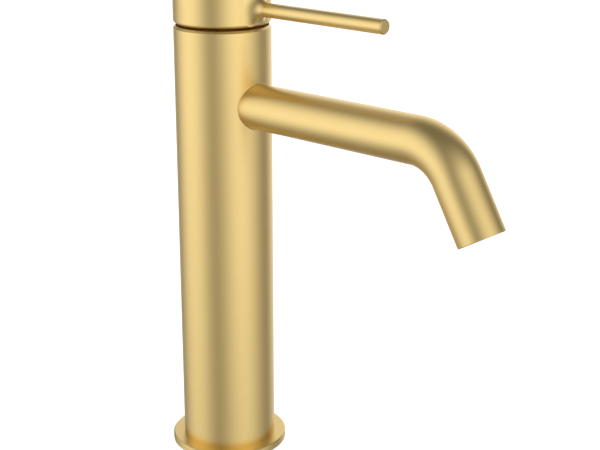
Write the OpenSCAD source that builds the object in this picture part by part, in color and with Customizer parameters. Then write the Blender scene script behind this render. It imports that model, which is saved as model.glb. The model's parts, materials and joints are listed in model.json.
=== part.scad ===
// Deck-mounted single-lever basin mixer with a tall round column and a bent round spout.
// Origin: centre of the base, on the deck surface. +Z up, spout and lever towards -Y, hot side -X.

/* [Column] */
// Outer diameter of the column and of the cap on top of it
body_d = 45; // [42:1:60]
// Wall of the column tube
body_wall = 1.5; // [1.2:0.1:2]
// Height of the column's top edge above the deck
body_top = 207.85; // [190:1:300]
// Chamfer on the column's top edge
body_chamfer = 1; // [0.4:0.1:1.4]

/* [Base] */
// How far the base flange stands out past the column
flange_lip = 5.6; // [4:0.2:10]
// Thickness of the base flange
flange_t = 3.6; // [3:0.2:6]
// Chamfer on the flange's top edge
flange_chamfer = 0.5; // [0.2:0.1:1]
// Bore of the flange
flange_bore = 34; // [32:0.5:36]
// Height of the brass inlet block above the flange
block_h = 20.4; // [18:0.2:30]
// Distance of each water inlet from the middle
inlet_x = 7.5; // [7:0.1:9]
// Distance of both water inlets behind the middle
inlet_y = 4.5; // [3:0.1:5]
// Minor diameter of the M10x1 inlet threads
inlet_d = 9; // [8.8:0.1:9.2]
// Depth of the inlet threads
inlet_depth = 12; // [8:0.5:14]

/* [Spout] */
// Height of the spout's centre line
spout_z = 172.65; // [160:1:180]
// Outer diameter of the spout tube
spout_d = 20.85; // [18:0.1:26]
// Wall of the spout tube
spout_wall = 1.2; // [1:0.1:2]
// Length of the straight run, from the column's axis to the bend
spout_run = 113.4; // [70:1:180]
// Radius of the bend's centre line
spout_bend_r = 24.5; // [18:0.5:50]
// Angle of the bend
spout_bend = 60; // [30:1:90]
// Length of the straight end after the bend
spout_end = 26.7; // [20:1:60]
// How far the braze fillet stands out around the spout's root
fillet_size = 0.5; // [0.4:0.1:2]

/* [Handle] */
// Gap between the column's top edge and the cap's rim at rest
cap_gap = 0.55; // [0.3:0.05:0.8]
// Height of the cap
cap_h = 24; // [24:0.5:40]
// Chamfer on the cap's rim
cap_rim_chamfer = 1.8; // [1.7:0.1:1.9]
// Chamfer on the cap's top edge
cap_top_chamfer = 1; // [0.3:0.1:2]
// Side wall of the cap
cap_wall = 2.4; // [2:0.1:2.6]
// Top of the cap
cap_top_t = 2; // [1.6:0.1:2.2]
// Height of the lever's axis above the cap's rim
lever_above_rim = 8.7; // [8:0.1:12]
// Diameter of the lever rod
lever_d = 6.5; // [5:0.1:10]
// Distance of the lever's tip from the column's axis
lever_reach = 95.9; // [60:1:140]
// Radius of the flare where the lever grows out of the cap
lever_flare_r = 4.2; // [2:0.2:4.4]
// Chamfer on the lever's tip
lever_tip_chamfer = 0.5; // [0.2:0.1:1]
// How far the lever lifts from shut to full flow, in degrees
lift_angle = 14; // [5:1:14]

/* [Cartridge] */
// Diameter of the cartridge's upper housing
cart_d = 25; // [24:0.5:26]
// Diameter of the cartridge's foot
cart_foot_d = 30; // [28:0.5:31]
// Height of the tilting pin above the cap's rim
pivot_above_rim = 12; // [12:0.1:12.4]
// Length of the stem's arm, from the tilting pin to its ball
arm = 14; // [10:0.5:15]
// Diameter of the tilting pin
pin_d = 3; // [2.5:0.1:3.5]
// Diameter of the stem's ball
ball_d = 5; // [4:0.1:6]
// Width of the stem's square head
stem_w = 7; // [6:0.1:8]
// Diameter of the ceramic disc that moves
moving_disc_d = 18.4; // [16:0.2:18.8]
// Radius of the water ways in the valve
port_r = 2.6; // [2:0.1:2.8]

/* [Pipes and deck clamp] */
// Outer diameter of the riser pipes
riser_d = 8; // [6:0.5:8.5]
// Wall of the riser pipes
riser_wall = 1; // [0.8:0.1:1.5]
// Thickness of the deck that the clamp is drawn for
deck_t = 30; // [20:1:40]
// Diameter of the mounting stud
stud_d = 8; // [6:1:8]
// Distance of the mounting stud in front of the middle
stud_y = 11; // [10.5:0.1:11.2]
// Length of the stud below the deck surface
stud_below = 60; // [56:1:90]
// Outer diameter of the horseshoe plate and its gasket
clamp_d = 46; // [44:1:60]
// Width of the horseshoe's slot
clamp_slot_w = 28; // [27:0.5:30]
// Thickness of the horseshoe plate
clamp_plate_t = 2.5; // [2:0.5:4]
// Thickness of the rubber gasket
clamp_gasket_t = 2; // [1:0.5:3]

/* [Fits] */
// Radial clearance of pieces that turn or slide in each other
run_fit = 0.05; // [0.02:0.01:0.1]
// Radial clearance of pieces that are fixed in each other
seat_fit = 0.03; // [0.01:0.01:0.05]

/* [Hidden] */
$fn = 96;
e = 0.5;                 // overshoot of cuts
swing_fit = 0.12;        // rim to the column's mouth as it swings past
mouth_land = 0.05;       // least flat left between the mouth and its chamfer
dip_fit = 0.6;           // rim to what stands under it

gold = [0.87, 0.75, 0.50];
brass = [0.80, 0.66, 0.36];
steel = [0.74, 0.75, 0.77];
copper = [0.78, 0.50, 0.36];
rubber = [0.13, 0.13, 0.13];
ceramic = [0.93, 0.92, 0.88];
acetal = [0.90, 0.90, 0.88];
grey_plastic = [0.55, 0.57, 0.60];
red_plastic = [0.70, 0.15, 0.12];

body_r = body_d / 2;
bore_r = body_r - body_wall;
core_r = bore_r - 0.05;  // brass pieces pressed into the column
block_top = flange_t + block_h;
block_bottom = 0.8;
riser_r = riser_d / 2;
socket_depth = 6;
groove_r = riser_r + 1.2;
groove_h = 1.5;
groove_in = 4;           // from the mouth of a riser's socket to its seal groove

rim_z = body_top + cap_gap;
cap_top = rim_z + cap_h;
ceiling_z = cap_top - cap_top_t;
cavity_r = body_r - cap_wall;
rim_inner_r = cavity_r + 0.3;
lever_z = rim_z + lever_above_rim;
lever_r = lever_d / 2;
flare_end = body_r - 0.3 + lever_flare_r;
pivot_z = rim_z + pivot_above_rim;

// Valve stack, counted down from the pivot and up from the seat
housing_top = pivot_z + 1.3;
cart_top = housing_top + 1.2;
// how far the rim dips at the back when the lever is up
rim_dip = (body_r - cap_rim_chamfer) * sin(lift_angle) - pivot_above_rim * (1 - cos(lift_angle));
// relief in the column's mouth, which the edge of the rim's chamfer just clears as it passes
rim_swing = pow(body_r, 2) + pow(pivot_above_rim - cap_rim_chamfer, 2) - pow(pivot_above_rim + cap_gap, 2);
mouth_r = max(bore_r, sqrt(rim_swing) + swing_fit);
mouth_chamfer = min(body_chamfer, body_r - mouth_r - mouth_land);
dip_floor = rim_z - rim_dip - dip_fit;  // nothing wider than the neck stands above this
collar_t = 0.5;
head_top = dip_floor - collar_t;
nut_h = 5;
foot_top = head_top - nut_h;
foot_bottom = foot_top - 9.4;
seat_z = foot_bottom - 0.6;
foot_r = cart_foot_d / 2;
housing_r = cart_d / 2;
guide_r = housing_r - 1.35;
neck_r = 8.4;
fixed_disc_t = 3;
moving_disc_t = 2.6;
fixed_disc_z = foot_bottom + 5.4;
moving_disc_z = fixed_disc_z + fixed_disc_t + 0.02;
carrier_z = moving_disc_z + moving_disc_t;
carrier_t = 4;
guide_z = carrier_z + carrier_t + 0.3;
ball_z = pivot_z - arm;
carrier_top = ball_z + ball_d / 2 + 0.1;
disc_travel = arm * sin(lift_angle);
neck_w = 10;
neck_l = 8;
disc_rest = disc_travel / 2;
outlet_y = -7;
boss_r = 8;
boss_bottom = pivot_z + 5;
screw_z = pivot_z + 7.5;
screw_r = 2;
hex_key = 2;
plug_r = 2.6;
nut_r = core_r - 3.4;
collar_r = housing_r + 0.05;
collar_wall = 0.75;
collar_top = pivot_z - 3.5;

head_bottom = spout_z - 22.65;
spout_r = spout_d / 2;
spout_bore = spout_r - spout_wall;
spout_root = bore_r - 4;
nipple_r = 7.5;
nipple_in = spout_root - 9;
nipple_out = spout_root + 15;
nipple_bore = 5;
nipple_grooves = [nipple_in + 2, nipple_in + 5.5];
nipple_groove_r = nipple_r - 1.2;
port_end = nipple_in - 0.5;

aerator_in = 1.5;
aerator_h = 8;
aerator_r = spout_bore - seat_fit;
grid_pitch = 2;

lower_clamp = -deck_t - clamp_gasket_t;
clamp_slot_y = -2.2;
clamp_r = clamp_d / 2;
clamp_nut_h = 8;
stud_r = stud_d / 2;
stud_top = block_bottom + 13;

// ---- shared shapes

// Ring of rectangular section standing on z = 0
module ring(outer, inner, h) {
    difference() {
        cylinder(r = outer, h = h);
        translate([0, 0, -e]) cylinder(r = inner, h = h + 2 * e);
    }
}

// Round cord bent into a ring that fills the gap between two radii
module o_ring(outer, inner) {
    cord = (outer - inner) / 2;
    rotate_extrude() translate([inner + cord, 0]) circle(r = cord, $fn = 48);
}

// Cylinder lying along -Y, from one distance out of the axis to another
module along(r, from, to) {
    translate([0, -from, 0]) rotate([90, 0, 0]) cylinder(r = r, h = to - from);
}

// Puts its children at the hot inlet, the cold inlet, or both
module at_inlets(sides = [-1, 1]) {
    for (side = sides) translate([side * inlet_x, inlet_y, 0]) children();
}

// Puts its children on the spout's outlet, with +Z pointing up the bore
module at_outlet() {
    translate([0, -spout_run, spout_z - spout_bend_r])
        rotate([spout_bend, 0, 0])
            translate([0, 0, spout_bend_r])
                rotate([-90, 0, 0])
                    translate([0, 0, -spout_end]) children();
}

// ---- base

module base_flange() {
    r = body_r + flange_lip;
    color(gold) difference() {
        rotate_extrude() polygon([
            [flange_bore / 2, 0], [r, 0], [r, flange_t - flange_chamfer],
            [r - flange_chamfer, flange_t], [flange_bore / 2, flange_t]]);
        translate([0, 0, -e]) ring(body_r + 1.5, body_r - 2.5, e + 1.6);
    }
}

module flange_seal() {
    color(rubber) ring(body_r + 1.45, body_r - 2.45, 1.6);
}

module inlet_block() {
    color(brass) difference() {
        union() {
            translate([0, 0, flange_t]) cylinder(r = core_r, h = block_h);
            translate([0, 0, block_bottom]) cylinder(r = flange_bore / 2 - 0.1, h = flange_t - block_bottom);
        }
        at_inlets() {
            translate([0, 0, block_bottom - e]) cylinder(d = inlet_d, h = inlet_depth + e);
            cylinder(r = riser_r - riser_wall, h = block_top);
            translate([0, 0, block_top - socket_depth]) cylinder(r = riser_r + seat_fit, h = socket_depth + e);
            translate([0, 0, block_top - groove_in]) cylinder(r = groove_r, h = groove_h);
        }
        translate([0, -stud_y, block_bottom - e]) cylinder(r = stud_r, h = stud_top - block_bottom + 1 + e);
    }
}

// ---- column and pipes

module column() {
    color(gold) difference() {
        rotate_extrude() polygon([
            [bore_r, flange_t], [body_r, flange_t], [body_r, body_top - mouth_chamfer],
            [body_r - mouth_chamfer, body_top], [mouth_r, body_top],
            [mouth_r, body_top - rim_dip], [bore_r, body_top - rim_dip]]);
        translate([0, 0, spout_z]) along(spout_r + seat_fit, 0, body_r + e);
    }
}

module riser(side) {
    from = block_top - socket_depth + 0.2;
    to = head_bottom + socket_depth - 0.2;
    color(copper) at_inlets([side]) translate([0, 0, from]) ring(riser_r, riser_r - riser_wall, to - from);
}

module hot_riser() riser(-1);

module cold_riser() riser(1);

module riser_o_rings() {
    color(rubber) at_inlets() for (z = [block_top - groove_in, head_bottom + groove_in - groove_h])
        translate([0, 0, z + groove_h / 2]) o_ring(groove_r - 0.02, riser_r + 0.02);
}

module valve_head() {
    color(brass) difference() {
        translate([0, 0, head_bottom]) cylinder(r = core_r, h = head_top - head_bottom);
        // seat for the cartridge's foot, and the thread for its nut
        translate([0, 0, seat_z]) cylinder(r = foot_r + 0.1, h = head_top - seat_z + e);
        translate([0, 0, foot_top]) cylinder(r = nut_r + seat_fit, h = nut_h + e);
        // hot and cold water up from the pipes
        at_inlets() {
            translate([0, 0, head_bottom - e]) cylinder(r = riser_r + seat_fit, h = socket_depth + e);
            translate([0, 0, head_bottom + groove_in - groove_h]) cylinder(r = groove_r, h = groove_h);
            translate([0, 0, head_bottom]) cylinder(r = port_r, h = seat_z - head_bottom + e);
        }
        // mixed water down to the spout
        translate([0, outlet_y, spout_z]) cylinder(r = port_r, h = seat_z - spout_z + e);
        translate([0, 0, spout_z]) {
            along(port_r + 1, -outlet_y - port_r - 1, port_end + e);
            along(nipple_r + seat_fit, port_end, core_r + e);
            along(spout_r + 0.15, spout_root - 0.2, core_r + e);
        }
    }
}

// ---- spout

// Straight run out of the column, and the true bend at its end
module spout_tube() {
    color(gold) {
        translate([0, 0, spout_z]) difference() {
            along(spout_r, spout_root, spout_run);
            along(spout_bore, spout_root - e, spout_run + e);
        }
        translate([0, -spout_run, spout_z - spout_bend_r]) rotate([180, -90, 0])
            rotate_extrude(angle = spout_bend) translate([spout_bend_r, 0]) difference() {
                circle(r = spout_r);
                circle(r = spout_bore);
            }
    }
}

// Straight end brazed on below the bend, bored for the aerator
module outlet_sleeve() {
    color(gold) at_outlet() ring(spout_r, spout_bore, spout_end);
}

// Braze fillet in the corner between the spout and the column
module spout_fillet() {
    color(gold) difference() {
        intersection() {
            translate([0, 0, spout_z]) along(spout_r + fillet_size, bore_r - 4, body_r + 3);
            translate([0, 0, spout_z - body_r]) cylinder(r = body_r + fillet_size, h = body_d);
        }
        translate([0, 0, spout_z - body_r - e]) cylinder(r = body_r, h = body_d + 2 * e);
        translate([0, 0, spout_z]) along(spout_r, 0, body_r + 4);
    }
}

module spout_nipple() {
    color(brass) translate([0, 0, spout_z]) difference() {
        union() {
            along(nipple_r, nipple_in, spout_root + e);
            along(spout_bore - seat_fit, spout_root, nipple_out);
        }
        along(nipple_bore, nipple_in - e, nipple_out + e);
        for (y = nipple_grooves) difference() {
            along(nipple_r + e, y, y + groove_h);
            along(nipple_groove_r, y - e, y + groove_h + e);
        }
    }
}

module nipple_o_rings() {
    color(rubber) for (y = nipple_grooves)
        translate([0, -y - groove_h / 2, spout_z]) rotate([90, 0, 0])
            o_ring(nipple_r + seat_fit - 0.01, nipple_groove_r + 0.01);
}

module aerator_housing() {
    color(grey_plastic) at_outlet() translate([0, 0, aerator_in]) difference() {
        ring(aerator_r, aerator_r - 1.8, aerator_h);
        for (a = [0:90:270]) rotate([0, 0, a]) translate([aerator_r - 1.2, -1, -e]) cube([3, 2, 1 + e]);
    }
}

module aerator_grid() {
    r = aerator_r - 1.83;
    color(acetal) at_outlet() translate([0, 0, aerator_in + 0.6]) {
        ring(r, r - 0.7, 3);
        intersection() {
            cylinder(r = r - 0.3, h = 3);
            union() for (a = [0, 90], i = [-3:3])
                rotate([0, 0, a]) translate([-r, i * grid_pitch - 0.2, 0]) cube([2 * r, 0.4, 3]);
        }
    }
}

module aerator_screen() {
    color(steel) at_outlet() translate([0, 0, aerator_in + 4.2]) cylinder(r = aerator_r - 1.85, h = 0.5);
}

module aerator_seal() {
    color(rubber) at_outlet() translate([0, 0, aerator_in + aerator_h]) ring(aerator_r, aerator_r - 2, 1.8);
}

// ---- cartridge

module water_ways(z, h, r) {
    translate([0, 0, z]) {
        at_inlets() cylinder(r = r, h = h);
        translate([0, outlet_y, 0]) cylinder(r = r, h = h);
    }
}

module cartridge_foot() {
    color(grey_plastic) difference() {
        translate([0, 0, foot_bottom]) cylinder(r = foot_r, h = fixed_disc_z - foot_bottom);
        water_ways(foot_bottom - e, 9, port_r);
        water_ways(foot_bottom - e, e + 1, port_r + 1);
    }
}

module cartridge_foot_seals() {
    color(rubber) {
        at_inlets() translate([0, 0, seat_z + 0.05]) ring(port_r + 0.95, port_r, 1.5);
        translate([0, outlet_y, seat_z + 0.05]) ring(port_r + 0.95, port_r, 1.5);
    }
}

module cartridge_o_ring() {
    color(rubber) translate([0, 0, foot_top - 1.8]) o_ring(foot_r + 0.08, foot_r - 1.2);
}

module cartridge_housing() {
    color(acetal) difference() {
        union() {
            translate([0, 0, fixed_disc_z]) cylinder(r = foot_r, h = foot_top - fixed_disc_z);
            translate([0, 0, foot_top - e]) cylinder(r = housing_r, h = housing_top - foot_top + e);
        }
        translate([0, 0, fixed_disc_z - e]) cylinder(r = guide_r + 1, h = fixed_disc_t + e);
        translate([0, 0, fixed_disc_z]) cylinder(r = guide_r + run_fit, h = housing_top - 1.8 - fixed_disc_z);
        cylinder(r = neck_r + run_fit, h = housing_top + e);
        translate([0, 0, foot_top - 2.6]) ring(foot_r + e, foot_r - 1.25, 1.6);
    }
}

module fixed_disc() {
    color(ceramic) difference() {
        translate([0, 0, fixed_disc_z]) cylinder(r = guide_r + 1 - seat_fit, h = fixed_disc_t);
        water_ways(fixed_disc_z - e, fixed_disc_t + 2 * e, port_r - 0.3);
    }
}

// The hollow under this disc joins the ways; its front edge shuts them when the lever is down
module moving_disc() {
    color(ceramic) translate([0, disc_rest, moving_disc_z]) difference() {
        cylinder(d = moving_disc_d, h = moving_disc_t);
        translate([0, -3, -e]) cylinder(r = 4, h = 1.6 + e);
    }
}

module disc_carrier() {
    color(grey_plastic) difference() {
        union() {
            translate([0, disc_rest, carrier_z]) cylinder(d = moving_disc_d, h = carrier_t);
            translate([-neck_w / 2, -neck_l / 2, carrier_z]) cube([neck_w, neck_l, carrier_top - carrier_z]);
        }
        translate([0, 0, ball_z - ball_d]) cylinder(d = ball_d + 2 * run_fit, h = carrier_top);
    }
}

module rotating_guide() {
    front = neck_l / 2 + disc_travel + 0.4;
    back = neck_l / 2 + 0.6;
    slot = stem_w / 2 + 0.12;
    slot_y = stem_w / 2 + 1.6;
    color(acetal) difference() {
        union() {
            translate([0, 0, guide_z]) cylinder(r = guide_r, h = housing_top - 1.9 - guide_z);
            translate([0, 0, guide_z]) cylinder(r = neck_r, h = cart_top - guide_z);
        }
        translate([-neck_w / 2 - run_fit, -front, guide_z - e])
            cube([neck_w + 2 * run_fit, front + back, carrier_top + 1 - guide_z + e]);
        translate([-slot, -slot_y, guide_z]) cube([2 * slot, 2 * slot_y, cart_top]);
        translate([-neck_r, 0, pivot_z]) rotate([0, 90, 0]) cylinder(d = pin_d + 2 * seat_fit, h = 2 * neck_r);
    }
}

module tilt_pin() {
    half = neck_r - 0.7;
    color(steel) translate([-half, 0, pivot_z]) rotate([0, 90, 0]) cylinder(d = pin_d, h = 2 * half);
}

module lever_stem() {
    foot = pivot_z - 3.5;
    color(brass) difference() {
        union() {
            translate([-stem_w / 2, -stem_w / 2, foot]) cube([stem_w, stem_w, ceiling_z - 0.2 - foot]);
            translate([0, 0, ball_z]) cylinder(r = ball_d * 0.32, h = foot - ball_z + e);
            translate([0, 0, ball_z]) sphere(d = ball_d);
        }
        translate([-stem_w, 0, pivot_z]) rotate([0, 90, 0]) cylinder(d = pin_d + 2 * run_fit, h = 2 * stem_w);
    }
}

module limit_ring() {
    color(red_plastic) translate([0, 0, housing_top]) difference() {
        ring(housing_r - 0.1, neck_r + 0.3, cart_top - housing_top);
        for (a = [0:15:345]) rotate([0, 0, a]) translate([housing_r - 0.7, 0, -e]) cylinder(r = 0.35, h = 3);
    }
}

module retaining_nut() {
    color(brass) translate([0, 0, foot_top]) difference() {
        ring(nut_r, housing_r + 0.3, nut_h);
        for (a = [45:90:315]) rotate([0, 0, a]) translate([housing_r + 1.6, -1.5, nut_h - 2]) cube([6, 3, 3]);
    }
}

// Thin plate that hides the nut, drawn up into a sleeve round the cartridge's neck
module neck_collar() {
    wall_r = collar_r + collar_wall;
    color(gold) translate([0, 0, head_top]) rotate_extrude() polygon([
        [collar_r, 0], [core_r - 0.2, 0], [core_r - 0.2, collar_t], [wall_r, collar_t],
        [wall_r, collar_top - head_top], [collar_r, collar_top - head_top]]);
}

// ---- handle

module handle_cap() {
    color(gold) difference() {
        union() {
            difference() {
                rotate_extrude() polygon([
                    [0, rim_z], [body_r - cap_rim_chamfer, rim_z], [body_r, rim_z + cap_rim_chamfer],
                    [body_r, cap_top - cap_top_chamfer], [body_r - cap_top_chamfer, cap_top], [0, cap_top]]);
                translate([0, 0, rim_z - e]) cylinder(r = cavity_r, h = ceiling_z - rim_z + e);
                rotate_extrude() polygon([
                    [0, rim_z - e], [rim_inner_r + e, rim_z - e], [rim_inner_r, rim_z],
                    [cavity_r, rim_z + 0.3], [0, rim_z + 0.3]]);
            }
            // boss that takes the stem, and the boss behind the lever
            translate([0, 0, boss_bottom]) cylinder(r = boss_r, h = ceiling_z - boss_bottom + e);
            translate([0, 0, lever_z]) along(5.5, cavity_r - 4.8, body_r - cap_wall / 2);
        }
        translate([-stem_w / 2 - seat_fit, -stem_w / 2 - seat_fit, boss_bottom - e])
            cube([stem_w + 2 * seat_fit, stem_w + 2 * seat_fit, ceiling_z - boss_bottom + e]);
        translate([0, 0, lever_z]) along(lever_r - 0.75 + seat_fit, cavity_r - 6, body_r + e);
        translate([0, 0, screw_z]) along(screw_r + seat_fit, -body_r - e, 0);
        translate([0, 0, screw_z]) along(plug_r + seat_fit, -body_r - e, -cavity_r + 1);
    }
}

// Rod with a flared root that beds on the cap, and a threaded end that goes through its wall
module lever_rod() {
    c = lever_tip_chamfer;
    flare_r = lever_r + lever_flare_r;
    color(gold) translate([0, 0, lever_z]) difference() {
        union() {
            along(lever_r - 0.75, cavity_r - 4.8, body_r + 1);
            rotate([90, 0, 0]) rotate_extrude() difference() {
                polygon([
                    [0, body_r - 3], [flare_r, body_r - 3], [flare_r, flare_end], [lever_r, flare_end],
                    [lever_r, lever_reach - c], [lever_r - c, lever_reach], [0, lever_reach]]);
                translate([flare_r, flare_end]) circle(r = lever_flare_r);
            }
        }
        difference() {
            translate([0, 0, -body_r]) cylinder(r = body_r, h = body_d);
            along(lever_r - 0.75, 0, body_r + 1);
        }
    }
}

module handle_grub_screw() {
    from = stem_w / 2 + 0.1;
    to = boss_r + 0.6;
    color(steel) translate([0, 0, screw_z]) difference() {
        along(screw_r, -to, -from);
        translate([0, to - 2.5, 0]) rotate([-90, 0, 0]) cylinder(r = hex_key / sqrt(3), h = 4, $fn = 6);
    }
}

module grub_screw_plug() {
    color(gold) translate([0, 0, screw_z]) along(plug_r, -body_r + 0.2, -cavity_r - 1.2);
}

// ---- clamp under the deck

module mounting_stud() {
    color(steel) translate([0, -stud_y, -stud_below]) cylinder(r = stud_r - 0.02, h = stud_below + stud_top);
}

module horseshoe(h) {
    corner = 4;
    linear_extrude(h) difference() {
        circle(r = clamp_r);
        translate([-clamp_slot_w / 2, clamp_slot_y + corner]) square([clamp_slot_w, clamp_d]);
        translate([-clamp_slot_w / 2 + corner, clamp_slot_y]) square([clamp_slot_w - 2 * corner, clamp_d]);
        for (side = [-1, 1])
            translate([side * (clamp_slot_w / 2 - corner), clamp_slot_y + corner]) circle(r = corner);
        translate([0, -stud_y]) circle(r = stud_r + 0.3);
    }
}

module clamp_gasket() {
    color(rubber) translate([0, 0, lower_clamp]) horseshoe(clamp_gasket_t);
}

module clamp_plate() {
    color(steel) translate([0, 0, lower_clamp - clamp_plate_t]) horseshoe(clamp_plate_t);
}

module clamp_nut() {
    across = stud_d * 1.625;
    color(brass) translate([0, -stud_y, lower_clamp - clamp_plate_t - clamp_nut_h]) difference() {
        intersection() {
            cylinder(d = across / cos(30), h = clamp_nut_h, $fn = 6);
            cylinder(d1 = across, d2 = across + 2 * clamp_nut_h, h = clamp_nut_h);
        }
        translate([0, 0, -e]) cylinder(r = stud_r, h = clamp_nut_h + 2 * e);
    }
}

base_flange();
flange_seal();
column();
inlet_block();
hot_riser();
cold_riser();
riser_o_rings();
valve_head();
spout_tube();
outlet_sleeve();
spout_fillet();
spout_nipple();
nipple_o_rings();
aerator_housing();
aerator_seal();
aerator_grid();
aerator_screen();
cartridge_foot();
cartridge_foot_seals();
cartridge_o_ring();
cartridge_housing();
fixed_disc();
moving_disc();
disc_carrier();
rotating_guide();
tilt_pin();
lever_stem();
limit_ring();
retaining_nut();
neck_collar();
handle_cap();
lever_rod();
handle_grub_screw();
grub_screw_plug();
mounting_stud();
clamp_gasket();
clamp_plate();
clamp_nut();
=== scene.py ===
"""Looks of a tall single-lever basin mixer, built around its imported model.

Metres, +Z up, spout towards -Y.
"""

import json
import math

import bmesh
import bpy
from mathutils import Matrix, Vector


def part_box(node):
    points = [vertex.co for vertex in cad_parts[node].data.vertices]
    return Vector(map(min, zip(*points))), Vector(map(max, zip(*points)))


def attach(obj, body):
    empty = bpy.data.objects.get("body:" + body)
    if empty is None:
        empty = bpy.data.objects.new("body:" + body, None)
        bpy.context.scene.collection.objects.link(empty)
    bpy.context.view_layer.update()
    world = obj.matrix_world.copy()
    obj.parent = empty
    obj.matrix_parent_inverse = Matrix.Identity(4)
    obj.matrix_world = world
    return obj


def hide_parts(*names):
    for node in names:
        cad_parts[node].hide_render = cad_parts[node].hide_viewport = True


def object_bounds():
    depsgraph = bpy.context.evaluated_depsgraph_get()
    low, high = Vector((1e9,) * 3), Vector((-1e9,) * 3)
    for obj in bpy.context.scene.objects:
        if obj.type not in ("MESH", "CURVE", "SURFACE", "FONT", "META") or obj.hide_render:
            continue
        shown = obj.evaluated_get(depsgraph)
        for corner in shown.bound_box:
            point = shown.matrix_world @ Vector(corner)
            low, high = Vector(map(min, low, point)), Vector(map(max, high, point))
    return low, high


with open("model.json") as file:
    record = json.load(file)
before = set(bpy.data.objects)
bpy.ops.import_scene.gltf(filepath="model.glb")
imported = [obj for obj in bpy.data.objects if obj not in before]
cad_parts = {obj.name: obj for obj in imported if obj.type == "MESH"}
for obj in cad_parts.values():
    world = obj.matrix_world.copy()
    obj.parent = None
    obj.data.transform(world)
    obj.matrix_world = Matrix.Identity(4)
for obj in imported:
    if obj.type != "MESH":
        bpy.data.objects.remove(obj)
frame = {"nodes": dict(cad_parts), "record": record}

cad_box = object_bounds()
MM = 0.001

# ---------------------------------------------------------------- sizes, from the frame where it has them

column_low, column_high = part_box("column")
BODY_R = column_high[0]
COLUMN_FOOT = column_low[2]
COLUMN_TOP = column_high[2]
TUBE_WALL = 1.5 * MM
BODY_CHAMFER = 1 * MM
BODY_EDGE = 0.12 * MM
MOUTH_LAND = 0.1 * MM       # flat left between the column's outer chamfer and the relief in its mouth
MOUTH_EDGE = 0.05 * MM
MOUTH_R = BODY_R - BODY_CHAMFER - MOUTH_LAND
MOUTH_DEPTH = 4.65 * MM
MOUTH_CORNER = 0.1 * MM

flange_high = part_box("base_flange")[1]
FLANGE_R = flange_high[0]
FLANGE_TOP = flange_high[2]
FLANGE_BORE = 17 * MM
FLANGE_CHAMFER = 0.5 * MM
FLANGE_EDGE = 0.3 * MM

cap_low, cap_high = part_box("handle_cap")
CAP_RIM = cap_low[2]
CAP_TOP = cap_high[2]
CAP_RIM_CHAMFER = 1.5 * MM
CAP_RIM_ROUND = 1.0 * MM
GAP_SHADE_TOP = 0.8 * MM       # how far up the rim the painted shade of the gap reaches, as a darker gold on those faces
CAP_TOP_CHAMFER = 1.0 * MM
CAP_TOP_EDGE = 0.4 * MM
CAP_WALL = 2.4 * MM
CAP_LEAD_IN = 0.3 * MM      # chamfer inside the rim
CAP_TOP_THICKNESS = 2 * MM
CAP_INNER_CORNER = 0.5 * MM
BOSS_R = 8 * MM
BOSS_BOTTOM = CAP_RIM + 17 * MM
SCREW_Z = CAP_RIM + 19.5 * MM
PLUG_R = 2.6 * MM
PLUG_LENGTH = 1.2 * MM
PLUG_EDGE = 0.4 * MM
PLUG_DEPTH = 0.35 * MM      # from the cap's surface to the plug's face
PLUG_GAP = 0.05 * MM
HOLE_FROM = 17 * MM         # the screw's hole is cut from here outwards, clear of the cap at both ends
HOLE_TO = 30 * MM
HOLE_SURROUND = 0.2 * MM

lever_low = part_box("lever_rod")[0]
LEVER_R = 3.25 * MM
LEVER_Z = CAP_RIM + 8.7 * MM
LEVER_REACH = -lever_low[1]
LEVER_FLARE = 8 * MM        # radius of the blend into the cap, on top and at the sides, and underneath
LEVER_FLARE_LOW = 3.75 * MM
LEVER_ROOT = 2 * MM         # how far the rod goes into the cap
LEVER_TIP_CHAMFER = 0.5 * MM
LEVER_TIP_EDGES = (0.25 * MM, 0.15 * MM)

SPOUT_R = 10.425 * MM
SPOUT_BORE = 9.225 * MM
SPOUT_Z = 172.65 * MM
SPOUT_ROOT = 17 * MM
SPOUT_RUN = 113.4 * MM
BEND_R = 24.5 * MM
BEND_ANGLE = math.radians(60)
SPOUT_END = 26.7 * MM
LIP_DEPTH = 3 * MM          # the part of the mouth that is drawn with its edges
LIP_EDGES = (0.3 * MM, 0.2 * MM)
SEAM_R = 0.5 * MM

STUD_PITCH = 1.25 * MM
STUD_THREAD_DEPTH = 0.75 * MM
STUD_CHAMFER = 1 * MM
STUD_GAP = 0.3 * MM
STUD_STEPS = 10             # rows in one turn of the thread
STUD_FACETS = 40
FLANK_START = 1.25          # shape of the thread: flat crest, sloping flank, flat root
FLANK_SLOPE = 3.2
CLAMP_SLOT = 28 * MM
CLAMP_SLOT_END = -2.2 * MM
CLAMP_SLOT_CORNER = 4 * MM
PLATE_STEPS = 120
CORNER_STEPS = 12

PLATE_EDGE = 0.35 * MM
PAD_EDGE = 0.25 * MM

EDGE = 0.2 * MM             # radius that polishing leaves on an edge
SHARP = 35                  # degrees between two faces that make a crisp edge
THREAD_SHARP = 50
BLEND_SHARP = 80
BARREL = 256                # facets round the column and the cap
FINE = 192                  # facets round the flange and the spout's seam
SMALL = 96                  # facets round a small piece
SAME_PLACE = 1e-7           # points closer than this are one point
SKIRT_DIP = 0.05 * MM       # hidden edge of a blend: into the rod, along the rod, and into the barrel
SKIRT_REACH = 0.4 * MM
SKIRT_DEPTH = 0.45 * MM


# ---------------------------------------------------------------- mesh tools

def crease(bm, sharp):
    """Shading breaks at every edge that turns by more than this many degrees."""
    for edge in bm.edges:
        edge.smooth = len(edge.link_faces) == 2 and edge.calc_face_angle(0) < math.radians(sharp)


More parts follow.
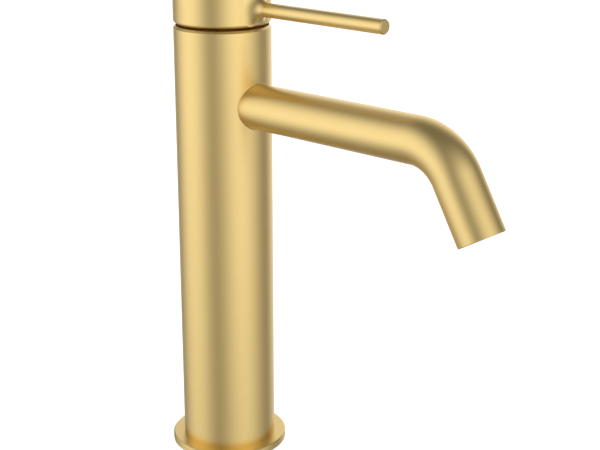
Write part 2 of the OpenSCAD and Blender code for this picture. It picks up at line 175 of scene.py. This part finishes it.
def finish_mesh(name, bm, sharp=SHARP):
    """Turns a bmesh into an object with smooth faces and crisp edges above the given angle."""
    bmesh.ops.remove_doubles(bm, verts=bm.verts, dist=SAME_PLACE)
    bmesh.ops.recalc_face_normals(bm, faces=bm.faces)
    for face in bm.faces:
        face.smooth = True
    crease(bm, sharp)
    mesh = bpy.data.meshes.new(name)
    bm.to_mesh(mesh)
    bm.free()
    piece = bpy.data.objects.new(name, mesh)
    bpy.context.scene.collection.objects.link(piece)
    return piece


def corner_arc(before, corner, after, radius, steps=12):
    """Points of the arc that rounds one corner of an outline, within nine tenths of the sides beside it."""
    room = 0.9 * min((before - corner).length, (after - corner).length)
    a = (before - corner).normalized()
    b = (after - corner).normalized()
    half = a.angle(b) / 2
    reach = min(radius / math.tan(half), room)
    radius = reach * math.tan(half)
    centre = corner + (a + b).normalized() * (radius / math.sin(half))
    start = corner + a * reach - centre
    turn = start.angle_signed(corner + b * reach - centre)
    points = []
    for i in range(steps + 1):
        # angle_signed counts clockwise
        step = -turn * i / steps
        points.append(centre + Matrix.Rotation(step, 2) @ start)
    return points


def rounded(corners, closed=True):
    """An outline from (r, z) or (r, z, edge radius) corners: each is rounded, with a line beside its arc."""
    points = [Vector(c[:2]) for c in corners]
    radii = [c[2] if len(c) > 2 else EDGE for c in corners]
    outline = []
    count = len(points)
    for i, corner in enumerate(points):
        ends_here = not closed and i in (0, count - 1)
        if ends_here or radii[i] == 0:
            outline.append(corner)
            continue
        before, after = points[i - 1], points[(i + 1) % count]
        arc = corner_arc(before, corner, after, radii[i])
        support = min(radii[i], EDGE)
        outline.append(arc[0] + (before - arc[0]).normalized() * support * 0.5)
        outline.extend(arc)
        outline.append(arc[-1] + (after - arc[-1]).normalized() * support * 0.5)
    return outline


def grid(bm, rows, close_rows, close_columns):
    """Faces between rows of points. A row with one point is a pole."""
    verts = [[bm.verts.new(p) for p in row] for row in rows]
    last = len(verts) if close_rows else len(verts) - 1
    for i in range(last):
        low, high = verts[i], verts[(i + 1) % len(verts)]
        width = max(len(low), len(high))
        for j in range(width if close_columns else width - 1):
            k = (j + 1) % width
            ring = [low[j % len(low)], low[k % len(low)], high[k % len(high)], high[j % len(high)]]
            face = list(dict.fromkeys(ring))
            if len(face) > 2:
                bm.faces.new(face)


def lathe(name, outline, facets=FINE, closed=True, place=None):
    """Turned piece: an outline of (r, z) points taken round the Z axis."""
    rows = []
    for r, z in outline:
        if r < SAME_PLACE:
            rows.append([Vector((0, 0, z))])
        else:
            turn = 2 * math.pi / facets
            rows.append([Vector((r * math.cos(i * turn), r * math.sin(i * turn), z)) for i in range(facets)])
    bm = bmesh.new()
    grid(bm, rows, closed, True)
    if place is not None:
        bm.transform(place)
    return finish_mesh(name, bm)


def saddle_blend(name, rod_r, barrel_r, top_r, bottom_r, height, facets=SMALL, steps=14):
    """Concave blend between a rod along -Y and the upright barrel it grows out of, as a ball rolls round."""
    rows = []
    for i in range(facets):
        angle = 2 * math.pi * i / facets
        out = Vector((math.sin(angle), 0, math.cos(angle)))
        # the power keeps the lower radius to the underside
        blend_r = top_r + (bottom_r - top_r) * max(0, -out.z) ** 4
        ball = out * (rod_r + blend_r)
        ball.y = -math.sqrt((barrel_r + blend_r) ** 2 - ball.x ** 2)
        to_rod = -out
        to_barrel = -Vector((ball.x, ball.y, 0)).normalized()
        row = [ball + to_rod.slerp(to_barrel, s / steps) * blend_r for s in range(steps + 1)]
        # a skirt that dips under both surfaces, so no edge shows
        row.insert(0, row[0] - out * SKIRT_DIP + Vector((0, -SKIRT_REACH, 0)))
        row.append(row[-1] + to_barrel * SKIRT_DEPTH)
        rows.append([p + Vector((0, 0, height)) for p in row])
    bm = bmesh.new()
    grid(bm, rows, True, False)
    return finish_mesh(name, bm, BLEND_SHARP)


def add_piece(piece, material, slot, body, *nodes):
    """Gives a piece its material, its body and the CAD nodes that it stands for."""
    piece.data.materials.clear()
    piece.data.materials.append(material)
    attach(piece, body)
    if nodes:
        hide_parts(*nodes)
    return piece


# ---------------------------------------------------------------- materials

def linear(hex_colour):
    """sRGB hex to linear RGBA."""
    parts = [int(hex_colour[i:i + 2], 16) / 255 for i in (1, 3, 5)]
    return tuple(c / 12.92 if c <= 0.04045 else ((c + 0.055) / 1.055) ** 2.4 for c in parts) + (1,)


def add_node(tree, kind, inputs=None, **settings):
    """Adds a node with its properties, and inputs by name or number, each a socket to link or a value."""
    node = tree.nodes.new(kind)
    for key, value in settings.items():
        setattr(node, key, value)
    for key, value in (inputs or {}).items():
        if isinstance(value, bpy.types.NodeSocket):
            tree.links.new(value, node.inputs[key])
        else:
            node.inputs[key].default_value = value
    return node


def new_material(name, **shader_values):
    """A material with its output, its shader with fixed values, and its place in metres."""
    material = bpy.data.materials.new(name)
    material.use_nodes = True
    tree = material.node_tree
    tree.nodes.clear()
    values = {key.replace("_", " "): value for key, value in shader_values.items()}
    shader = add_node(tree, "ShaderNodeBsdfPrincipled", values)
    add_node(tree, "ShaderNodeOutputMaterial", {"Surface": shader.outputs[0]})
    place = add_node(tree, "ShaderNodeTexCoord").outputs["Object"]
    return material, tree, shader, place


def finish_surface(tree, shader, colours, shade, texture, roughness, depth_mm):
    """Mixes two close colours by one pattern, and takes roughness and relief from another."""
    tint = add_node(tree, "ShaderNodeMix", {0: shade, 6: linear(colours[0]), 7: linear(colours[1])},
                    data_type="RGBA")
    rough = add_node(tree, "ShaderNodeMapRange",
                     {"Value": texture, "To Min": roughness[0], "To Max": roughness[1]})
    relief = add_node(tree, "ShaderNodeBump", {"Height": texture, "Distance": depth_mm * MM, "Strength": 1.0})
    tree.links.new(tint.outputs[2], shader.inputs["Base Color"])
    tree.links.new(rough.outputs[0], shader.inputs["Roughness"])
    tree.links.new(relief.outputs[0], shader.inputs["Normal"])


def blasted_gold(name, colours):
    """Brass, fine blasted, then coated by vapour deposition: soft wide highlights and no brush lines."""
    material, tree, shader, place = new_material(name, Metallic=1.0)
    cloud = add_node(tree, "ShaderNodeTexNoise", {"Vector": place, "Scale": 1 / (9 * MM), "Detail": 3.0})
    # the blasted pits are about 0.05 mm across, and are drawn at 0.35 mm so that they show
    pits = add_node(tree, "ShaderNodeTexNoise", {"Vector": place, "Scale": 1 / (0.35 * MM), "Detail": 2.0})
    finish_surface(tree, shader, colours, cloud.outputs[0], pits.outputs[0], (0.33, 0.35), 0.0006)
    return material


def turned_brass():
    """Brass, turned and left bare: deeper yellow, with rings that the tool leaves."""
    material, tree, shader, place = new_material("brass_turned", Metallic=1.0)
    cloud = add_node(tree, "ShaderNodeTexNoise", {"Vector": place, "Scale": 1 / (6 * MM), "Detail": 4.0})
    # rings 0.1 mm apart, drawn 0.6 mm apart; the noise breaks them up
    rings = add_node(tree, "ShaderNodeTexWave",
                     {"Vector": place, "Scale": 0.314 / (0.6 * MM), "Distortion": 1.2, "Detail": 2.0},
                     bands_direction="Z")
    finish_surface(tree, shader, ("#CBA24E", "#D9B25C"), cloud.outputs[0], rings.outputs[0],
                   (0.22, 0.34), 0.002)
    return material


def drawn_copper():
    """Copper tube, cold drawn: salmon, with faint streaks along its length."""
    material, tree, shader, place = new_material("copper_drawn_tube", Metallic=1.0)
    along = add_node(tree, "ShaderNodeMapping", {"Vector": place, "Scale": (1, 1, 0.03)})
    cloud = add_node(tree, "ShaderNodeTexNoise", {"Vector": place, "Scale": 1 / (12 * MM), "Detail": 4.0})
    streaks = add_node(tree, "ShaderNodeTexNoise",
                       {"Vector": along.outputs[0], "Scale": 1 / (0.5 * MM), "Detail": 2.0})
    finish_surface(tree, shader, ("#C67A54", "#D98B62"), cloud.outputs[0], streaks.outputs[0],
                   (0.24, 0.36), 0.002)
    return material


def rolled_steel():
    """Stainless steel, with a rolled thread: bright grey, slightly smeared."""
    material, tree, shader, place = new_material("stainless_steel_rolled", Metallic=1.0)
    cloud = add_node(tree, "ShaderNodeTexNoise", {"Vector": place, "Scale": 1 / (5 * MM), "Detail": 4.0})
    smear = add_node(tree, "ShaderNodeTexNoise", {"Vector": place, "Scale": 1 / (0.4 * MM), "Detail": 3.0})
    finish_surface(tree, shader, ("#BDBFC3", "#CBCDD0"), cloud.outputs[0], smear.outputs[0],
                   (0.22, 0.36), 0.003)
    return material


def plated_steel():
    """Steel, pressed and zinc plated: bluish grey, with the cloudy bloom of the bath."""
    material, tree, shader, place = new_material("steel_zinc_plated", Metallic=1.0)
    bloom = add_node(tree, "ShaderNodeTexNoise", {"Vector": place, "Scale": 1 / (4 * MM), "Detail": 6.0})
    spangle = add_node(tree, "ShaderNodeTexVoronoi", {"Vector": place, "Scale": 1 / (1.2 * MM)})
    finish_surface(tree, shader, ("#A4ABB3", "#C6CBCF"), bloom.outputs[0], spangle.outputs[0],
                   (0.30, 0.44), 0.003)
    return material


def moulded(name, colours, roughness, grain_mm, depth_mm, **shader_values):
    """Plastic or rubber from a spark-eroded mould: an even colour with a fine matt grain."""
    material, tree, shader, place = new_material(name, **shader_values)
    cloud = add_node(tree, "ShaderNodeTexNoise", {"Vector": place, "Scale": 1 / (7 * MM), "Detail": 3.0})
    grain = add_node(tree, "ShaderNodeTexNoise",
                     {"Vector": place, "Scale": 1 / (grain_mm * MM), "Detail": 3.0})
    finish_surface(tree, shader, colours, cloud.outputs[0], grain.outputs[0], roughness, depth_mm)
    return material


# The visible faces: pale gold
GOLD = blasted_gold("brass_blasted_pvd_gold", ("#F6D891", "#F8DB95"))
# The faces inside the turning gap: painted shade, a browner and darker gold, so that the gap reads as a dark
# line
GAP_SHADE_GOLD = blasted_gold("brass_pvd_gold_painted_gap_shade", ("#A5793B", "#AD8142"))
BRASS = turned_brass()
COPPER = drawn_copper()
STEEL = rolled_steel()
ZINC = plated_steel()
# Nitrile rubber: black, with a soft bloom
RUBBER = moulded("nitrile_rubber_moulded", ("#151516", "#202021"), (0.55, 0.7), 0.25, 0.01)
# Alumina, lapped flat: cream white, with a wet-looking shine
CERAMIC = moulded("alumina_ceramic_lapped", ("#E6E2D7", "#F0EDE4"), (0.14, 0.2), 0.3, 0.0005, IOR=1.76)
# Acetal: waxy off-white that light sinks into a little
ACETAL = moulded("acetal_moulded", ("#E2E1DB", "#ECEBE6"), (0.36, 0.48), 0.2, 0.004, IOR=1.48,
                 Subsurface_Weight=0.15, Subsurface_Radius=(0.001, 0.001, 0.001))
# Glass-filled acetal: grey, duller
GREY_ACETAL = moulded("acetal_glass_filled_moulded", ("#6C7178", "#787D84"), (0.42, 0.56), 0.2, 0.006,
                      IOR=1.48)
# ABS: red, half matt
RED_ABS = moulded("abs_moulded_red", ("#A63228", "#B53B31"), (0.33, 0.43), 0.2, 0.004)

SLOT_MATERIALS = {
    "gold_satin": GOLD, "brass": BRASS, "copper": COPPER, "steel": STEEL, "zinc_steel": ZINC,
    "rubber": RUBBER, "ceramic": CERAMIC, "acetal": ACETAL, "grey_plastic": GREY_ACETAL,
    "red_plastic": RED_ABS,
}
for part in frame["record"]["subparts"]:
    mesh = frame["nodes"][part["node"]].data
    mesh.materials.clear()
    mesh.materials.append(SLOT_MATERIALS[part["material_slot"]])


# ---------------------------------------------------------------- base and column

def make_flange():
    seat = FLANGE_TOP - FLANGE_CHAMFER
    outline = rounded([
        (FLANGE_BORE, 0), (FLANGE_R, 0, FLANGE_EDGE), (FLANGE_R, seat, FLANGE_EDGE),
        (FLANGE_R - FLANGE_CHAMFER, FLANGE_TOP, FLANGE_EDGE), (FLANGE_BORE, FLANGE_TOP)])
    add_piece(lathe("flange", outline), GOLD, "gold_satin", "body", "base_flange")


def make_column():
    inner = BODY_R - TUBE_WALL
    outline = rounded([
        (inner, COLUMN_FOOT, 0), (BODY_R, COLUMN_FOOT, 0),
        (BODY_R, COLUMN_TOP - BODY_CHAMFER, BODY_EDGE), (BODY_R - BODY_CHAMFER, COLUMN_TOP, MOUTH_EDGE),
        (MOUTH_R, COLUMN_TOP, 0), (MOUTH_R, COLUMN_TOP - MOUTH_DEPTH, MOUTH_CORNER),
        (inner, COLUMN_TOP - MOUTH_DEPTH, MOUTH_CORNER)])
    add_piece(lathe("column_tube", outline, BARREL), GOLD, "gold_satin", "body", "column")


# ---------------------------------------------------------------- spout

def spout_stations():
    """Centres and directions along the spout, from its root to its mouth."""
    stations = [(Vector((0, -SPOUT_ROOT, SPOUT_Z)), 0.0), (Vector((0, -BODY_R - SEAM_R, SPOUT_Z)), 0.0)]
    bend_centre = Vector((0, -SPOUT_RUN, SPOUT_Z - BEND_R))
    bend_steps = 60
    for i in range(bend_steps + 1):
        angle = BEND_ANGLE * i / bend_steps
        centre = bend_centre + Vector((0, -math.sin(angle), math.cos(angle))) * BEND_R
        stations.append((centre, angle))
    mouth = stations[-1][0] + Vector((0, -math.cos(BEND_ANGLE), -math.sin(BEND_ANGLE))) * SPOUT_END
    stations.append((mouth, BEND_ANGLE))
    return stations


def ring_at(centre, angle, radius, shift=0.0, facets=SMALL):
    """Ring of points round the spout's centre line; shift moves it along the line."""
    forward = Vector((0, -math.cos(angle), -math.sin(angle)))
    up = Vector((0, -math.sin(angle), math.cos(angle)))
    side = Vector((1, 0, 0))
    turn = 2 * math.pi / facets
    return [centre + forward * shift + (side * math.cos(i * turn) + up * math.sin(i * turn)) * radius
            for i in range(facets)]


def make_spout():
    stations = spout_stations()
    mouth, angle = stations[-1]
    rows = [ring_at(c, a, SPOUT_R) for c, a in stations[:-1]]
    lip = rounded([
        (SPOUT_R, -LIP_DEPTH), (SPOUT_R, 0, LIP_EDGES[0]), (SPOUT_BORE, 0, LIP_EDGES[1]),
        (SPOUT_BORE, -LIP_DEPTH)], closed=False)
    rows += [ring_at(mouth, angle, r, shift) for r, shift in lip]
    rows += [ring_at(c, a, SPOUT_BORE) for c, a in reversed(stations[:-1])]
    bm = bmesh.new()
    grid(bm, rows, True, True)
    add_piece(finish_mesh("spout", bm), GOLD, "gold_satin", "body", "spout_tube", "outlet_sleeve")
    seam = saddle_blend("spout_seam", SPOUT_R, BODY_R, SEAM_R, SEAM_R, SPOUT_Z, FINE)
    add_piece(seam, GOLD, "gold_satin", "body", "spout_fillet")


# ---------------------------------------------------------------- handle

def cut(piece, cutter):
    """Takes one piece out of another."""
    modifier = piece.modifiers.new("cut", "BOOLEAN")
    modifier.object = cutter
    modifier.solver = "EXACT"
    bpy.context.view_layer.update()
    done = bpy.data.meshes.new_from_object(piece.evaluated_get(bpy.context.evaluated_depsgraph_get()))
    bm = bmesh.new()
    bm.from_mesh(done)
    crease(bm, SHARP)
    bm.to_mesh(done)
    bm.free()
    piece.modifiers.clear()
    piece.data = done
    bpy.data.objects.remove(cutter)


def make_cap():
    cavity = BODY_R - CAP_WALL
    ceiling = CAP_TOP - CAP_TOP_THICKNESS
    hole_r = PLUG_R + PLUG_GAP
    # the wall gets a line just above and just below the hole, so the hole's edge does not spoil its shading
    above_hole = SCREW_Z + hole_r + HOLE_SURROUND
    below_hole = SCREW_Z - hole_r - HOLE_SURROUND
    outline = rounded([
        (0, CAP_TOP), (BODY_R - CAP_TOP_CHAMFER, CAP_TOP, CAP_TOP_EDGE),
        (BODY_R, CAP_TOP - CAP_TOP_CHAMFER, CAP_TOP_EDGE), (BODY_R, above_hole, 0), (BODY_R, below_hole, 0),
        (BODY_R, CAP_RIM + CAP_RIM_CHAMFER, CAP_RIM_ROUND),
        (BODY_R - CAP_RIM_CHAMFER, CAP_RIM, CAP_RIM_ROUND),
        (cavity + CAP_LEAD_IN, CAP_RIM, 0), (cavity, CAP_RIM + CAP_LEAD_IN, 0),
        (cavity, ceiling, CAP_INNER_CORNER), (BOSS_R, ceiling, CAP_INNER_CORNER),
        (BOSS_R, BOSS_BOTTOM), (0, BOSS_BOTTOM)], closed=False)
    cap = lathe("cap", outline, BARREL, closed=False)
    along_y = Matrix.Translation((0, 0, SCREW_Z)) @ Matrix.Rotation(math.radians(-90), 4, "X")
    hole = lathe("screw_hole", [(0, HOLE_FROM), (hole_r, HOLE_FROM), (hole_r, HOLE_TO), (0, HOLE_TO)],
                 SMALL, False, along_y)
    cut(cap, hole)
    add_piece(cap, GOLD, "gold_satin", "handle", "handle_cap")
    cap.data.materials.append(GAP_SHADE_GOLD)
    # faces low on the outside of the rim take the darker gold: painted shade of the turning gap
    for face in cap.data.polygons:
        out = math.hypot(face.center.x, face.center.y)
        if face.center.z < CAP_RIM + GAP_SHADE_TOP and out > cavity:
            face.material_index = 1
    front = BODY_R - PLUG_DEPTH
    outline = rounded([
        (0, front - PLUG_LENGTH), (PLUG_R, front - PLUG_LENGTH), (PLUG_R, front, PLUG_EDGE), (0, front)],
        closed=False)
    plug = lathe("screw_plug", outline, SMALL, False, along_y)
    add_piece(plug, GOLD, "gold_satin", "handle", "grub_screw_plug")


def make_lever():
    to_lever = Matrix.Translation((0, 0, LEVER_Z)) @ Matrix.Rotation(math.radians(90), 4, "X")
    root = BODY_R - LEVER_ROOT
    outline = rounded([
        (0, root, 0), (LEVER_R, root, 0), (LEVER_R, LEVER_REACH - LEVER_TIP_CHAMFER, LEVER_TIP_EDGES[0]),
        (LEVER_R - LEVER_TIP_CHAMFER, LEVER_REACH, LEVER_TIP_EDGES[1]), (0, LEVER_REACH, 0)], closed=False)
    rod = lathe("lever", outline, SMALL, False, to_lever)
    add_piece(rod, GOLD, "gold_satin", "handle", "lever_rod")
    flare = saddle_blend("lever_flare", LEVER_R, BODY_R, LEVER_FLARE, LEVER_FLARE_LOW, LEVER_Z, steps=24)
    add_piece(flare, GOLD, "gold_satin", "handle")


# ---------------------------------------------------------------- clamp kit under the deck

def make_stud():
    """Threaded stud: a helical grid whose radius follows the thread as it climbs, with chamfered ends."""
    low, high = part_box("mounting_stud")
    centre = (Vector(low) + Vector(high)) / 2
    radius = (high[0] - low[0]) / 2
    rows = [[Vector((0, centre.y, low[2]))]]
    count = int((high[2] - low[2]) / STUD_PITCH * STUD_STEPS)
    for i in range(count + 1):
        z = low[2] + (high[2] - low[2]) * i / count
        end = min(z - low[2], high[2] - z)
        row = []
        for j in range(STUD_FACETS):
            phase = (i / STUD_STEPS - j / STUD_FACETS) % 1
            groove = min(1, max(0, FLANK_START - abs(phase - 0.5) * FLANK_SLOPE))
            r = min(radius - STUD_THREAD_DEPTH * groove, radius - STUD_CHAMFER + end)
            angle = 2 * math.pi * j / STUD_FACETS
            row.append(Vector((r * math.cos(angle), centre.y + r * math.sin(angle), z)))
        rows.append(row)
    rows.append([Vector((0, centre.y, high[2]))])
    bm = bmesh.new()
    grid(bm, rows, False, True)
    add_piece(finish_mesh("stud", bm, THREAD_SHARP), STEEL, "steel", "body", "mounting_stud")


def horseshoe(name, node, edge, material, slot):
    """Round plate with a slot open to the back, a stud hole in front, and edges softened by pressing."""
    low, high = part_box(node)
    radius = high[0]
    half = CLAMP_SLOT / 2
    start = math.asin(half / radius)
    sweep = 2 * math.pi - 2 * start
    outline = [Vector((math.sin(a), math.cos(a))) * radius
               for a in (start + sweep * i / PLATE_STEPS for i in range(PLATE_STEPS + 1))]
    corner = CLAMP_SLOT_CORNER
    for side in (-1, 1):
        centre = Vector((side * (half - corner), CLAMP_SLOT_END + corner))
        arc = [centre + Vector((side * math.cos(a), -math.sin(a))) * corner
               for a in (math.pi / 2 * i / CORNER_STEPS for i in range(CORNER_STEPS + 1))]
        outline.extend(arc if side < 0 else reversed(arc))
    bm = bmesh.new()
    sheet = bm.faces.new([bm.verts.new((p.x, p.y, low[2])) for p in outline])
    wall = bmesh.ops.extrude_face_region(bm, geom=[sheet])
    raised = [v for v in wall["geom"] if isinstance(v, bmesh.types.BMVert)]
    bmesh.ops.translate(bm, verts=raised, vec=(0, 0, high[2] - low[2]))
    rims = [e for e in bm.edges if abs(e.verts[0].co.z - e.verts[1].co.z) < SAME_PLACE]
    bmesh.ops.bevel(bm, geom=rims, offset=edge, segments=3, affect="EDGES", profile=0.5)
    plate = finish_mesh(name, bm)
    stud_low, stud_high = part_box("mounting_stud")
    hole_r = stud_high[0] + STUD_GAP
    at_stud = Matrix.Translation((0, (stud_low[1] + stud_high[1]) / 2, 0))
    bottom = low[2] - MM
    top = high[2] + MM
    cut(plate, lathe(name + "_hole", [(0, bottom), (hole_r, bottom), (hole_r, top), (0, top)],
                     SMALL, False, at_stud))
    add_piece(plate, material, slot, "body", node)


make_flange()
make_column()
make_spout()
make_cap()
make_lever()
make_stud()
horseshoe("clamp_disc", "clamp_plate", PLATE_EDGE, ZINC, "zinc_steel")
horseshoe("clamp_pad", "clamp_gasket", PAD_EDGE, RUBBER, "rubber")


# ---------------------------------------------------------------- camera, floor and light

CAMERA_DISTANCE = 597.15 * MM     # from the column's axis, level
CAMERA_HEIGHT = 304.04 * MM
CAMERA_AZIMUTH = math.radians(-43.75)
CAMERA_TURN = math.radians(3.41)  # to the right of the column
CAMERA_PITCH = math.radians(17.93)
LENS_MM = 78.255
SENSOR_MM = 36

# Soft panels: heading from the spout in degrees, strength, and half widths of the core and the faded edge
PANELS = ((-6, 0.98, 0, 75), (120, 0.9, 7, 54), (-128, 0.92, 8, 65))
PANEL_FOOT = (-58, -3)            # degrees above level, from where a panel starts to where it is full
PANEL_HEAD = (13, 75)
ROOM_LOW = 0.25                   # brightness of the rest of the room, below and above
ROOM_HIGH = 0.17
ROOM_CHANGE = (-15, 20)           # degrees above level, from where the one turns into the other
FLOOR_SIZE = 12                   # metres from the middle to the edge
FLOOR_DROP = 0.5 * MM             # under the lowest piece

camera_data = bpy.data.cameras.new("camera")
camera_data.lens = LENS_MM
camera_data.sensor_width = SENSOR_MM
camera_data.clip_start = 0.01
camera_data.clip_end = 100
camera = bpy.data.objects.new("camera", camera_data)
camera.location = (CAMERA_DISTANCE * math.sin(CAMERA_AZIMUTH), -CAMERA_DISTANCE * math.cos(CAMERA_AZIMUTH),
                   CAMERA_HEIGHT)
camera.rotation_euler = (math.radians(90) - CAMERA_PITCH, 0, CAMERA_AZIMUTH - CAMERA_TURN)
bpy.context.scene.collection.objects.link(camera)
bpy.context.scene.camera = camera
bpy.context.scene.view_settings.view_transform = "Standard"


def make_floor():
    """Plain pale floor, which throws no shadow and is not mirrored in the gold."""
    low = cad_box[0][2]
    bm = bmesh.new()
    bmesh.ops.create_grid(bm, x_segments=8, y_segments=8, size=FLOOR_SIZE)
    bm.transform(Matrix.Translation((0, 0, low - FLOOR_DROP)))
    floor = finish_mesh("floor", bm)
    material = new_material("floor_white_paint", Base_Color=linear("#F4F4F4"), Roughness=0.8,
                            Emission_Color=(1, 1, 1, 1), Emission_Strength=0.85)[0]
    floor.data.materials.append(material)
    floor.visible_glossy = False
    floor.visible_shadow = False


def make_studio():
    """Three tall soft panels round the object, about a third of a turn apart, in a dim room."""
    world = bpy.data.worlds.new("studio")
    world.use_nodes = True
    bpy.context.scene.world = world
    tree = world.node_tree
    tree.nodes.clear()
    towards = add_node(tree, "ShaderNodeTexCoord").outputs["Generated"]
    axes = add_node(tree, "ShaderNodeSeparateXYZ", {0: towards})
    front = add_node(tree, "ShaderNodeMath", {0: axes.outputs["Y"], 1: -1.0}, operation="MULTIPLY")
    heading = add_node(tree, "ShaderNodeMath", {0: axes.outputs["X"], 1: front.outputs[0]},
                       operation="ARCTAN2")
    rise = add_node(tree, "ShaderNodeMath", {0: axes.outputs["Z"]}, operation="ARCSINE")
    foot = add_node(tree, "ShaderNodeMapRange",
                    {"Value": rise.outputs[0], "From Min": math.radians(PANEL_FOOT[0]),
                     "From Max": math.radians(PANEL_FOOT[1])}, interpolation_type="SMOOTHSTEP")
    head = add_node(tree, "ShaderNodeMapRange",
                    {"Value": rise.outputs[0], "From Min": math.radians(PANEL_HEAD[0]),
                     "From Max": math.radians(PANEL_HEAD[1]), "To Min": 1.0, "To Max": 0.0},
                    interpolation_type="SMOOTHSTEP")
    tall = add_node(tree, "ShaderNodeMath", {0: foot.outputs[0], 1: head.outputs[0]}, operation="MULTIPLY")
    light = add_node(tree, "ShaderNodeMapRange",
                     {"Value": rise.outputs[0], "From Min": math.radians(ROOM_CHANGE[0]),
                      "From Max": math.radians(ROOM_CHANGE[1]), "To Min": ROOM_LOW, "To Max": ROOM_HIGH},
                     interpolation_type="SMOOTHSTEP")
    for facing, strength, core, edge in PANELS:
        # the angle from the panel's middle, brought back into half a turn each way
        turn = add_node(tree, "ShaderNodeMath", {0: heading.outputs[0], 1: math.radians(facing)},
                        operation="SUBTRACT")
        near = add_node(tree, "ShaderNodeMath", {0: turn.outputs[0], 1: math.pi, 2: -math.pi},
                        operation="WRAP")
        off = add_node(tree, "ShaderNodeMath", {0: near.outputs[0]}, operation="ABSOLUTE")
        panel = add_node(tree, "ShaderNodeMapRange",
                         {"Value": off.outputs[0], "From Min": math.radians(core),
                          "From Max": math.radians(edge), "To Min": strength, "To Max": 0.0},
                         interpolation_type="SMOOTHSTEP")
        light = add_node(tree, "ShaderNodeMath",
                         {0: panel.outputs[0], 1: tall.outputs[0], 2: light.outputs[0]},
                         operation="MULTIPLY_ADD")
    sky = add_node(tree, "ShaderNodeBackground", {"Color": light.outputs[0]})
    add_node(tree, "ShaderNodeOutputWorld", {"Surface": sky.outputs[0]})


make_floor()
make_studio()
